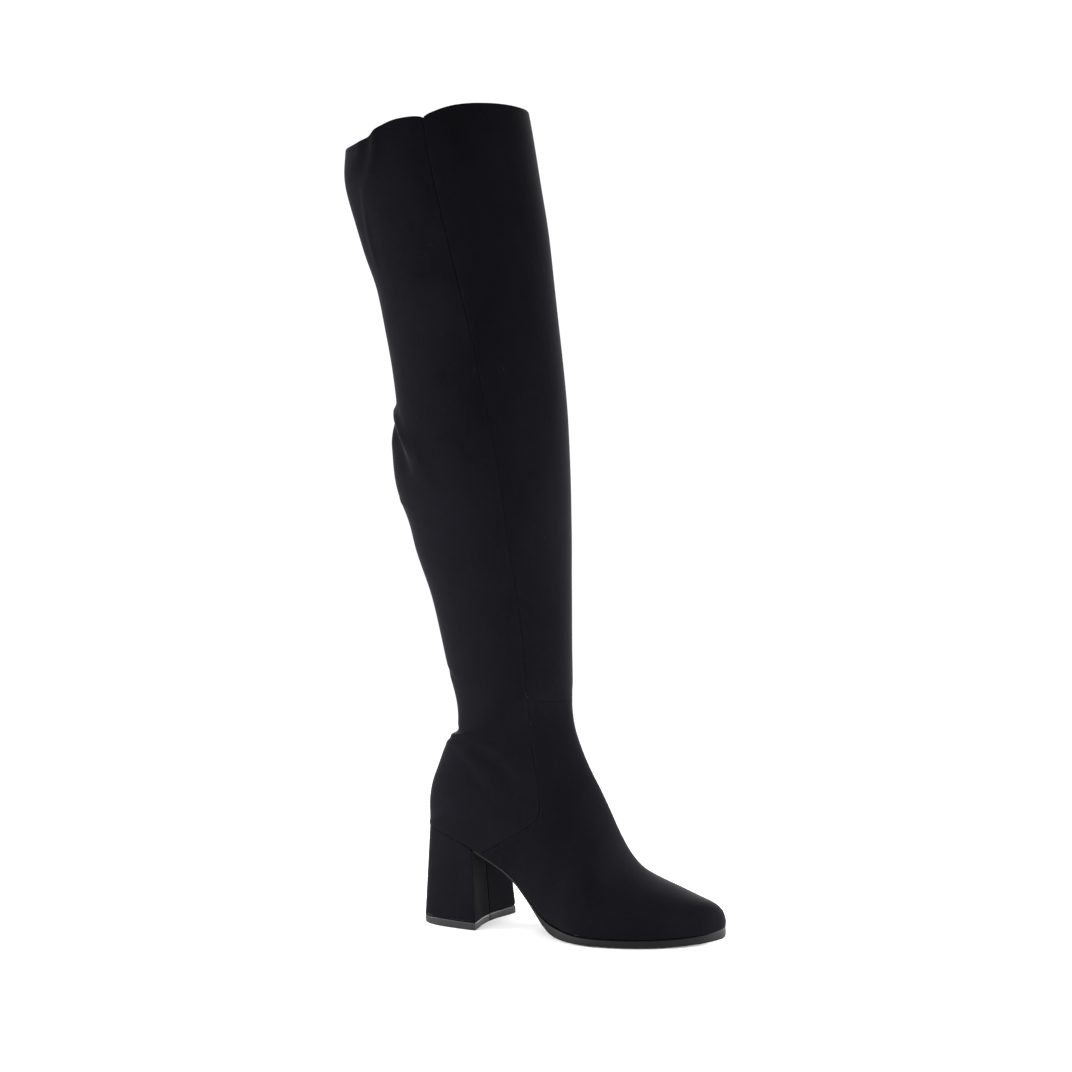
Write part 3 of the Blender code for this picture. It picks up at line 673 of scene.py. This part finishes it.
low_corner = outer_seam[0]
vamp_low = lower_edge_from(feather_edge, low_corner[0] + 1)
vamp_low = np.vstack((low_corner, vamp_low, inner_seam[0]))
below_corner = heights < VAMP_CORNER
vamp_high = np.vstack((outer_seam[below_corner], top_seam[::-1], inner_seam[below_corner][::-1]))
print("vamp's lower edge", round(length_of(vamp_low)), "mm, its seam", round(length_of(vamp_high)), "mm")

# %% The vamp's columns
core = resampled(np.array(FOOT_CORE), np.linspace(0, length_of(np.array(FOOT_CORE)), 200))


def nearest_inside(point):
    return int(np.argmin(np.linalg.norm(core - point, axis=1)))


def vamp_column(low, high):
    """Points and normals of the form from a point of the lower edge to a point of the seam."""
    ends = (runs_of(core)[nearest_inside(end)] for end in (low, high))
    inside = resampled(core, np.linspace(*ends, COLUMN_SAMPLES))
    guesses = np.linspace(low, high, COLUMN_SAMPLES)
    points, normals = zip(*(cast_on_form(middle, guess - middle) for middle, guess in zip(inside, guesses)))
    points, normals = np.array(points), np.array(normals)
    points[0], points[-1] = low, high
    places = np.linspace(0.0, length_of(points) - SEAM_GAP, COLUMN_SAMPLES)
    return resampled(points, places), resampled(points, places, normals)


column_count = int(length_of(vamp_low) / ROW_STEP)
shares = np.linspace(0, 1, column_count)
shares[[1, -2]] += np.array((-1, 1)) * (1 - FIRST_COLUMN) * shares[1]  # the end columns, close to the corners
low_points = resampled(vamp_low, shares * length_of(vamp_low))
high_places = shares * length_of(vamp_high)
high_points = resampled(vamp_high, high_places)
under_lap = abs(high_places[1:-1] - length_of(vamp_high) / 2) < length_of(top_seam) / 2
columns = [vamp_column(low, high) for low, high in zip(low_points[1:-1], high_points[1:-1])]
vamp_points, vamp_normals = evened(columns)
from_sole = np.array([runs_of(points) for points in vamp_points])
from_seam = from_sole[:, -1:] - from_sole
sink = LAP_SINK * under_lap[:, None] * np.exp(-((from_seam / LAP_RUN) ** 2))
from_toe = np.linalg.norm(vamp_points - TOE_TIP, axis=2)
fullness = TOE_FULLNESS * np.exp(-((from_toe / TOE_REACH) ** 2))
vamp_points = dressed(vamp_points, vamp_normals, from_sole) + vamp_normals * (fullness - sink)[..., None]
vamp_points, vamp_normals = turned_in(vamp_points, vamp_normals, True, TUCK, 1)
vamp_points, vamp_normals = turned_in(vamp_points, vamp_normals, False, ALLOWANCE, 1)
vamp = laid_grid("vamp", vamp_points.transpose(1, 0, 2))
print("rows and columns: vamp", vamp_points.shape[:2])

# %% Cloth thickness
CLOTH = 0.8  # thickness of one panel
PANEL_WELD = 0.005 * MM
LAID_SMOOTH_ANGLE = math.radians(60)

for panel in (front_panel, back_panel, vamp):
    edit_all(panel, (bpy.ops.mesh.remove_doubles, {"threshold": PANEL_WELD}), OUTWARDS)
    apply_modifier(panel, "SOLIDIFY", thickness=CLOTH * MM, offset=-1.0)
    bpy.ops.object.shade_smooth_by_angle(angle=LAID_SMOOTH_ANGLE)
    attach(panel, "root")
    print(panel.name, len(panel.data.polygons), "faces")
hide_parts("upper")

# %% [markdown]
# ## Lining
# A thin brushed knit is glued inside the panels and ends behind the hem. It is what one sees from above. The
# imported upper has this inner wall already, so a merged copy of it is taken, and every face that doesn't look
# towards the middle of the leg or the foot is deleted. The creases are pushed into it too, so that it follows the
# panels.

# %% Lining
LINING_LEVELS = 2
LINING_GAP = 0.4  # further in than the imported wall, so that no crease of it shows through a panel
LINING_CLOTH = 0.5
LINING_DROP = 5.0  # from the collar's edge down to where it ends, behind the hem
LOOKS_IN = 0.25  # the least that a face of the inner wall is turned to the middle
CORE_TOP = FOOT_CORE[-1][2]


def middle_of(point):
    """A point inside the boot: level with this one in the leg, or in the core of the foot."""
    if point[2] > CORE_TOP:
        return np.array((float(read(LEG_MIDDLE, point[2])), 0.0, point[2]))
    return core[nearest_inside(point)]


def in_the_way(face):
    centre = in_boot(face.center[:])
    looks_in = unit(middle_of(centre) - centre) @ np.array(face.normal[:])
    bearing = float(bearings_of(centre[None])[0])
    return bool(looks_in < LOOKS_IN or centre[2] > collar_height(bearing) - LINING_DROP)


def delete_faces(piece, unwanted):
    """Selects the faces that this test finds, and deletes them."""
    only(piece)
    bpy.context.tool_settings.mesh_select_mode = (False, False, True)
    for face in piece.data.polygons:
        face.select = unwanted(face)
    bpy.ops.object.mode_set(mode="EDIT")
    bpy.ops.mesh.delete(type="FACE")
    bpy.ops.object.mode_set(mode="OBJECT")
    bpy.context.tool_settings.mesh_select_mode = (True, False, False)


def moved(piece, move):
    """Moves a piece's vertices: the function gets their places in the boot's millimetres, and their normals."""
    points = in_boot([vertex.co[:] for vertex in piece.data.vertices])
    normals = np.array([vertex.normal[:] for vertex in piece.data.vertices])
    piece.data.vertices.foreach_set("co", in_frame(move(points, normals)).astype(np.float32).ravel())
    piece.data.update()


lining = merged_copy("upper", "lining")
crease_edges(lining, RIM_ANGLE)
apply_modifier(lining, "SUBSURF", levels=LINING_LEVELS, render_levels=LINING_LEVELS)
delete_faces(lining, in_the_way)
moved(lining, lambda points, inwards: creased(points, -inwards) + inwards * LINING_GAP)
apply_modifier(lining, "SOLIDIFY", thickness=LINING_CLOTH * MM, offset=-1.0)
bpy.ops.object.shade_smooth_by_angle(angle=LAID_SMOOTH_ANGLE)
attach(lining, "root")
print("lining", len(lining.data.polygons), "faces")

# %% [markdown]
# ## Heel, heel lift, sole and insole
# The block heel is wrapped in the upper's microsuede, and the wrap closes in one seam down the heel's front face.
# The lift is a moulded plate nailed under it. The sole is a thin moulded sheet, and the insole a covered board.
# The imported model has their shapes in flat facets. Each gets a merged copy, whose sharp edges are creased so that
# a Subdivision Surface rounds them only a little.

# %% Smooth copies of the hard pieces
SMOOTH_ANGLE = math.radians(40)


def smooth_copy(node, name, angle, crease, levels):
    piece = merged_copy(node, name)
    crease_edges(piece, math.radians(angle), crease)
    apply_modifier(piece, "SUBSURF", levels=levels, render_levels=levels)
    bpy.ops.object.shade_smooth_by_angle(angle=SMOOTH_ANGLE)
    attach(piece, "root")
    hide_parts(node)
    print(name, len(piece.data.polygons), "faces")
    return piece


heel_cover = smooth_copy("heel", "heel_cover", 40, 0.9, 3)
lift = smooth_copy("heel_lift", "lift", 40, 0.9, 3)
outsole = smooth_copy("outsole", "sole", 50, 0.88, 3)
insole = smooth_copy("insole", "sock", 50, 1.0, 2)

# %% [markdown]
# ## Tread
# The forepart of the sole and the lift's underside are moulded with fine cross ribs. At half a millimetre they are
# too fine to cut into the smooth copies, so the copies' undersides are raised by the ribs' height, and a ribbed pad
# is laid under each: a grid whose rows step down to a rib and up to a groove, with its border turned up into the
# sole.

# %% Raise the undersides
RIB_HEIGHT = 0.5
FACES_DOWN = -0.8
WAIST_X = 84.0
TUCK_RUN = 22.0
TUCK_SHARE = 0.055


def raised(points, normals):
    points[normals[:, 2] < FACES_DOWN, 2] += RIB_HEIGHT
    return points


def tucked_behind(points, normals):
    """Draws the sole's rear end in under the upper, so that it starts as a thin line beside the heel."""
    share = np.clip((WAIST_X - points[:, 0]) / TUCK_RUN, 0.0, 1.0)
    points[:, 1] *= 1 - TUCK_SHARE * share
    return points


for piece in (outsole, lift):
    moved(piece, raised)
moved(outsole, tucked_behind)

# %% Ribbed pads
RIB_PITCH = 2.8
RIB_PROFILE = ((0.0, 0.0), (0.42, 0.0), (0.52, 1.0), (0.9, 1.0))  # share of the pitch, share of the height raised
PAD_COLUMNS = 21
BORDER_TURN = 1.2
PAD_GAP = 0.03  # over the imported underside
PAD_RIB_SHARE = 0.9  # of the ribs' height, so that a groove stays clear of the smooth copy
FELT_FROM_SIDE = 90.0
FELT_FROM_BELOW = -20.0
FELT_OVER = 0.8  # the sides are felt for this high over the underside


def skin_of(node):
    mesh = nodes[node].data
    points = in_boot([vertex.co[:] for vertex in mesh.vertices])
    return BVHTree.FromPolygons(points.tolist(), [tuple(face.vertices) for face in mesh.polygons])


def underside(skin, x, y):
    under = skin.ray_cast(Vector((x, y, FELT_FROM_BELOW)), Vector((0.0, 0.0, 1.0)))[0]
    return under.z if under else 0.0


def side_of(skin, x, way):
    """Where a solid's side stands at this place, to the outer side (-1) or the inner side (1)."""
    start = Vector((x, way * FELT_FROM_SIDE, underside(skin, x, 0.0) + FELT_OVER))
    side = skin.ray_cast(start, Vector((0.0, -way, 0.0)))[0]
    return side.y if side else 0.0


def ribbed_pad(name, node, back_x, front_x, inset):
    """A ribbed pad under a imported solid, from one place along it to another, inset from its sides."""
    skin = skin_of(node)
    rows = []
    for rib in range(int((front_x - back_x) / RIB_PITCH)):
        for share, up in RIB_PROFILE:
            x = back_x + RIB_PITCH * (rib + share)
            outer, inner = side_of(skin, x, -1.0), side_of(skin, x, 1.0)
            across = outer + inset + np.linspace(0, 1, PAD_COLUMNS) * (inner - outer - 2 * inset)
            lift_up = PAD_GAP + up * RIB_HEIGHT * PAD_RIB_SHARE
            rows.append([(x, y, underside(skin, x, y) + lift_up) for y in across])
    rows = np.array(rows)
    rise = np.array((0.0, 0.0, BORDER_TURN))
    rows = np.concatenate((rows[:1] + rise, rows, rows[-1:] + rise))
    rows = np.concatenate((rows[:, :1] + rise, rows, rows[:, -1:] + rise), axis=1)
    pad = laid_grid(name, rows)
    if pad.data.polygons[len(pad.data.polygons) // 2].normal.z > 0:
        edit_all(pad, (bpy.ops.mesh.flip_normals, {}))
    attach(pad, "root")
    print(name, len(pad.data.polygons), "faces")
    return pad


sole_tread = ribbed_pad("sole_tread", "outsole", 118.0, 222.0, 6.0)
lift_tread = ribbed_pad("lift_tread", "heel_lift", 5.0, 47.0, 4.0)

# %% [markdown]
# ## Stitches and lint
# Polyester thread closes the lower part of each side seam, over the hook, and another row holds the hem inside the
# collar. One stitch is a sphere drawn out long in edit mode. Its copies are set along the seam line, each turned to
# the seam and to the skin there, and joined as one mesh. A few flecks of lint are the same shape.

# %% One stitch
STITCH_WIDTH = 0.34
STITCH_LENGTH = 1.6
STITCH_GAP = 1.0

bpy.ops.mesh.primitive_uv_sphere_add(segments=6, ring_count=5, radius=0.5)
stitch = bpy.context.object
edit_all(stitch, (bpy.ops.transform.resize, {"value": (STITCH_WIDTH, STITCH_WIDTH, STITCH_LENGTH)}))
stitch_points = np.array([vertex.co[:] for vertex in stitch.data.vertices])
stitch_faces = [tuple(face.vertices) for face in stitch.data.polygons]
bpy.data.objects.remove(stitch)
print("one stitch", len(stitch_faces), "faces")

# %% Rows of stitches
STITCH_LIFT = 0.04  # over the fabric


def set_stitches(name, spots, ups, aheads, sizes=1.0):
    """Copies of the stitch at these spots, joined: along their own direction, and flat on the skin."""
    sides = unit(np.cross(ups, aheads))
    ups = np.cross(aheads, sides)
    axes = np.stack((sides, ups, aheads), axis=1)
    points = spots[:, None] + np.einsum("vk,skx->svx", stitch_points, axes) * np.reshape(sizes, (-1, 1, 1))
    starts = range(0, len(spots) * len(stitch_points), len(stitch_points))
    faces = [tuple(start + corner for corner in face) for start in starts for face in stitch_faces]
    mesh = bpy.data.meshes.new(name)
    mesh.from_pydata(in_frame(points.reshape(-1, 3)).tolist(), [], faces)
    piece = bpy.data.objects.new(name, mesh)
    bpy.context.collection.objects.link(piece)
    edit_all(piece, OUTWARDS)
    bpy.ops.object.shade_smooth()
    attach(piece, "root")
    print(name, len(spots), "copies")
    return piece


def sewn(name, line, normals):
    places = np.arange(STITCH_GAP, length_of(line) - STITCH_LENGTH, STITCH_LENGTH + STITCH_GAP)
    ups = unit(resampled(line, places, normals))
    aheads = unit(resampled(line, places + STITCH_GAP) - resampled(line, places - STITCH_GAP))
    return set_stitches(name, resampled(line, places) + ups * STITCH_LIFT, ups, aheads)


SEWN_TOP = 190.0  # the stitches of the side seam show up to here
low = heights < SEWN_TOP
seam_bottom = side_depths[low, None]
threads = [
    sewn("outer_side_stitches", outer_seam[low] - outer_normals[low] * seam_bottom, outer_normals[low]),
    sewn("inner_side_stitches", inner_seam[low] - inner_normals[low] * seam_bottom, inner_normals[low]),
]
threads += [sewn(name, *line) for name, line in zip(("back_hem_stitches", "front_hem_stitches"), hem_lines)]

# %% Lint
LINT = (
    # bearing, height
    (45, 286.9), (39, 426.2), (116, 392.4), (46, 184.0), (45, 181.5), (41, 160.5), (78, 520.0), (21, 300.0),
)
LINT_SIZE = 0.45
LINT_SIZES = (0.6, 1.2)  # least and most, as shares of that size
LINT_LIFT = 0.2
strewn = np.random.default_rng(7)
spots, ups = (np.array(part) for part in zip(*(on_leg(*place) for place in LINT)))
turns = unit(np.cross(ups, strewn.normal(size=ups.shape)))
lint = set_stitches("lint", spots + ups * LINT_LIFT, ups, turns, LINT_SIZE * strewn.uniform(*LINT_SIZES, len(LINT)))

# %% [markdown]
# ## Materials

# %% Colour and node helpers


def linear(code):
    """An sRGB hex colour as the linear one that shaders use."""
    values = [int(code[i:i + 2], 16) / 255 for i in (1, 3, 5)]
    return (*[v / 12.92 if v <= 0.04045 else ((v + 0.055) / 1.055) ** 2.4 for v in values], 1.0)


def add(tree, kind, inputs=(), **settings):
    """Adds a node, sets its properties, and links or sets its sockets."""
    node = tree.nodes.new(kind)
    for name, value in settings.items():
        setattr(node, name, value)
    for socket, value in dict(inputs).items():
        if isinstance(value, bpy.types.NodeSocket):
            tree.links.new(value, node.inputs[socket])
        else:
            node.inputs[socket].default_value = value
    return node


def new_material(name, **sockets):
    material = bpy.data.materials.new(name)
    material.use_nodes = True
    tree = material.node_tree
    shader = tree.nodes["Principled BSDF"]
    for socket, value in sockets.items():
        shader.inputs[socket.replace("_", " ")].default_value = value
    return material, tree, shader


def per_mm(size):
    """The scale of a pattern whose features are this many millimetres across."""
    return 1.0 / (size * MM)


# %% [markdown]
# Microsuede is a knit of very fine polyester fibres, sanded to a short nap. It has no gloss of its own: the eye
# sees a deep black, cloudy where the nap has been stroked, and a soft light line at the outline, where one looks
# along the fibres. So the colour is nearly black, the specular level almost nothing, and sheen gives the line.

# %% Microsuede
def object_space(tree):
    return add(tree, "ShaderNodeTexCoord").outputs["Object"]


def clouds(tree, size, stretch=(1.0, 1.0, 1.0), detail=2.0):
    """Noise with features of this size in millimetres, drawn out along an axis by dividing its scale there."""
    placed = add(tree, "ShaderNodeMapping", {"Vector": object_space(tree), "Scale": stretch}).outputs[0]
    return add(tree, "ShaderNodeTexNoise", {"Vector": placed, "Scale": per_mm(size), "Detail": detail}).outputs[0]


def blended(tree, share, first, second):
    return add(tree, "ShaderNodeMix", {0: share, 2: first, 3: second}, data_type="FLOAT").outputs[0]


def coloured(tree, shader, pattern, dark, light):
    """Spreads the middle of a noise over two colours."""
    spread_out = add(tree, "ShaderNodeMapRange", {"Value": pattern, "From Min": 0.25, "From Max": 0.75}).outputs[0]
    tone = add(tree, "ShaderNodeMix", {0: spread_out, 6: linear(dark), 7: linear(light)}, data_type="RGBA")
    tree.links.new(tone.outputs[2], shader.inputs["Base Color"])


def bumped(tree, shader, pattern, height, strength=1.0):
    bump = add(tree, "ShaderNodeBump", {"Height": pattern, "Strength": strength, "Distance": height * MM})
    tree.links.new(bump.outputs[0], shader.inputs["Normal"])


def suede(name, dark, light):
    material, tree, shader = new_material(
        name, Roughness=1.0, Sheen_Weight=0.08, Sheen_Roughness=0.3, Sheen_Tint=linear("#f2f2f8"),
        Specular_IOR_Level=0.01,
    )
    strokes = clouds(tree, 30.0, stretch=(1.0, 1.0, 0.55), detail=4.0)
    nap = clouds(tree, 2.6, stretch=(1.0, 1.0, 0.4))
    fibres = clouds(tree, 0.9)  # real fibre tufts are about 0.2 mm, too fine to show
    coloured(tree, shader, blended(tree, 0.45, strokes, blended(tree, 0.55, nap, fibres)), dark, light)
    bumped(tree, shader, blended(tree, 0.6, nap, fibres), 0.14, 0.6)
    return material


microsuede = suede("microsuede", "#060608", "#0b0b0e")
# The heel's copy of the same microsuede is painted lighter than the upper's: painted light, standing in for the
# brighter light that falls on the heel.
heel_suede_painted_light = suede("heel_cover_microsuede_painted_light", "#070709", "#0d0c0f")

# %% [markdown]
# The back panel is a stretch crepe: a smooth elastic knit of crimped yarn. It shines a little more than the suede
# and is slightly bluer. Close up it is covered in tiny pebbles in rows that run along the leg, and it shows faint
# lines where it is pulled lengthwise. Real pebbles are about 0.4 mm. They are drawn at 1.1 mm, so that they show.

# %% Stretch crepe
stretch_crepe, tree, shader = new_material(
    "stretch_crepe", Roughness=0.9, Sheen_Weight=0.08, Sheen_Roughness=0.3, Sheen_Tint=linear("#efeffa"),
    Specular_IOR_Level=0.012,
)
pebbles = add(tree, "ShaderNodeTexVoronoi", {"Vector": object_space(tree), "Scale": per_mm(1.1), "Smoothness": 0.6},
              feature="SMOOTH_F1").outputs["Distance"]
pulls = clouds(tree, 2.2, stretch=(1.0, 1.0, 0.08))
shades = clouds(tree, 34.0, detail=3.0)
grain = clouds(tree, 1.0)
coloured(tree, shader, blended(tree, 0.5, shades, blended(tree, 0.4, grain, pulls)), "#060608", "#0a0a0e")
bumped(tree, shader, blended(tree, 0.35, pebbles, pulls), 0.15, 0.5)

# %% [markdown]
# The sole is thermoplastic rubber from a spark-eroded mould, so it is matt with a fine even grain. The lift is a
# harder polyurethane, smoother and greyer. Both are dark, and what one sees of them is mostly their reflection of
# the bright floor, so the gloss matters more than the colour.

# %% Moulded rubber
def moulded(name, dark, light, gloss, roughness, grain_height):
    material, tree, shader = new_material(name, Specular_IOR_Level=gloss)
    grain = clouds(tree, 0.8)  # spark-eroded grain is about 0.1 mm, too fine to show
    scuffs = clouds(tree, 9.0, detail=5.0)
    coloured(tree, shader, blended(tree, 0.4, scuffs, grain), dark, light)
    limits = {"To Min": roughness - 0.08, "To Max": roughness + 0.1}
    rough = add(tree, "ShaderNodeMapRange", {"Value": scuffs, **limits})
    tree.links.new(rough.outputs[0], shader.inputs["Roughness"])
    bumped(tree, shader, grain, grain_height, 0.5)
    return material


sole_rubber = moulded("thermoplastic_rubber", "#070708", "#0c0c0e", 0.08, 0.55, 0.08)
lift_rubber = moulded("polyurethane_lift", "#0b0a0c", "#100f12", 0.13, 0.45, 0.05)

# %% [markdown]
# The lining is a brushed tricot, with fine ribs along the leg and a soft nap. The insole is covered with the same
# cloth on foam. The thread is spun polyester, smoother than what it sews, so it glints a little.

# %% Lining, insole cover, thread and lint
def brushed_knit(name, dark, light, rib):
    material, tree, shader = new_material(
        name, Roughness=0.95, Sheen_Weight=0.12, Sheen_Roughness=0.4, Specular_IOR_Level=0.02,
    )
    ribs = clouds(tree, rib, stretch=(1.0, 1.0, 0.06))
    fluff = clouds(tree, 1.2)
    coloured(tree, shader, blended(tree, 0.5, ribs, fluff), dark, light)
    bumped(tree, shader, blended(tree, 0.4, ribs, fluff), 0.25, 0.7)
    return material


lining_tricot = brushed_knit("brushed_tricot", "#101013", "#1c1c20", 1.4)
sock_cloth = brushed_knit("insole_cover_cloth", "#121215", "#1f1f24", 2.0)

thread, tree, shader = new_material(
    "spun_polyester_thread", Roughness=0.6, Specular_IOR_Level=0.03, Sheen_Weight=0.04,
)
twist = clouds(tree, 0.5)
coloured(tree, shader, twist, "#09090b", "#131318")

lint_fibre, tree, shader = new_material("cotton_lint", Roughness=1.0, Sheen_Weight=0.3)
coloured(tree, shader, clouds(tree, 0.4), "#2e2d2c", "#4c4a48")

# %% Each piece gets its material
FINISHES = (
    (microsuede, (front_panel, vamp)), (stretch_crepe, (back_panel,)), (heel_suede_painted_light, (heel_cover,)),
    (lining_tricot, (lining,)), (sock_cloth, (insole,)), (sole_rubber, (outsole, sole_tread)),
    (lift_rubber, (lift, lift_tread)), (thread, threads), (lint_fibre, (lint,)),
)
for material, pieces in FINISHES:
    for piece in pieces:
        piece.data.materials.clear()
        piece.data.materials.append(material)
    print(material.name, "on", ", ".join(piece.name for piece in pieces))

# %% [markdown]
# ## Floor and light

# %% Studio
bpy.ops.mesh.primitive_circle_add(vertices=96, radius=20.0, fill_type="NGON")
floor = bpy.context.object
floor.name = "floor"
floor_paint, tree, shader = new_material("matt_white_floor", Roughness=0.9)
shader.inputs["Base Color"].default_value = linear("#fbfbfb")
floor.data.materials.append(floor_paint)

world = bpy.data.worlds.new("white_studio")
bpy.context.scene.world = world
world.use_nodes = True
world.node_tree.nodes["Background"].inputs["Color"].default_value = (1.0, 1.0, 1.0, 1.0)
world.node_tree.nodes["Background"].inputs["Strength"].default_value = 1.06
bpy.context.scene.view_settings.view_transform = "Standard"

LIGHT_AIM_X = 60.0  # every softbox looks level, at this place along the boot
SOFTBOXES = (
    # name, place, width, height, power in watts
    ("left_softbox", (-633.0, -399.0, 150.0), 400.0, 400.0, 16.0),
    ("front_left_softbox", (-108.0, -627.0, 110.0), 400.0, 200.0, 5.2),
    ("right_softbox", (753.0, 399.0, 150.0), 400.0, 400.0, 5.7),
    ("front_right_softbox", (704.0, 90.0, 110.0), 400.0, 200.0, 9.9),
    ("rear_right_softbox", (398.0, 724.0, 150.0), 400.0, 400.0, 14.0),
)
for name, spot, width, tall, power in SOFTBOXES:
    bpy.ops.object.light_add(type="AREA", location=in_frame(spot))
    softbox = bpy.context.object
    softbox.name = name
    softbox.data.shape = "RECTANGLE"
    softbox.data.size, softbox.data.size_y = width * MM, tall * MM
    softbox.data.energy = power
    towards = Vector(in_frame((LIGHT_AIM_X, 0.0, spot[2]))) - softbox.location
    softbox.rotation_euler = towards.to_track_quat("-Z", "Y").to_euler()

# %% Remove the form and finish
bpy.data.objects.remove(form)
